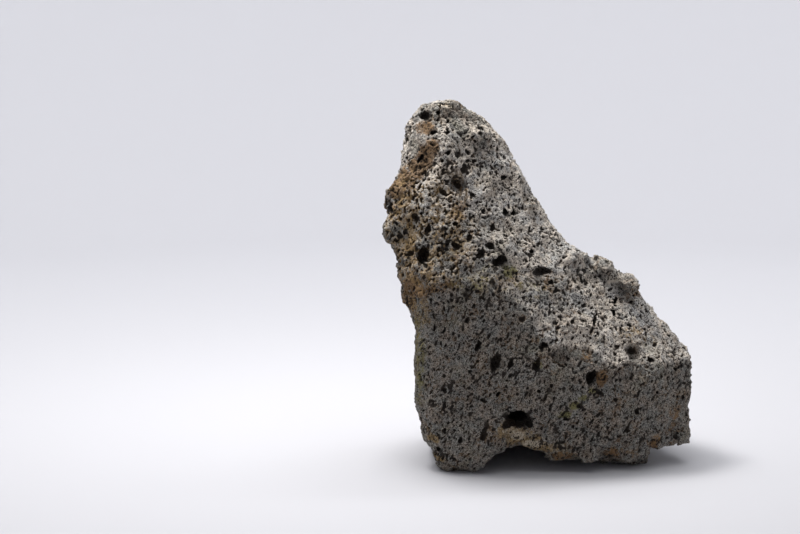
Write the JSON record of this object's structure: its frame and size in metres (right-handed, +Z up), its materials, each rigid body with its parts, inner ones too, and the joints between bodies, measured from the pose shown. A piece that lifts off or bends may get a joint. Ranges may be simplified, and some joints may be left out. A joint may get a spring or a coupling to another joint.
{
  "type": "lava rock",
  "caption": "Tall leaning lump of grey vesicular lava rock with a broad front face, a sloping right flank and an arch under its front edge, for decor or aquascaping.",
  "frame": {"origin": "on the ground, under the middle of the rock's bounding box", "axes": "+Z up, +X to the right across the broad front face, -Y the way that face looks"},
  "size_m": [0.1702, 0.1066, 0.1982],
  "materials": {
    "vesicular_basalt": "matte"
  },
  "bodies": {
    "root": {"lava_rock": "vesicular_basalt"}
  },
  "joints": []
}
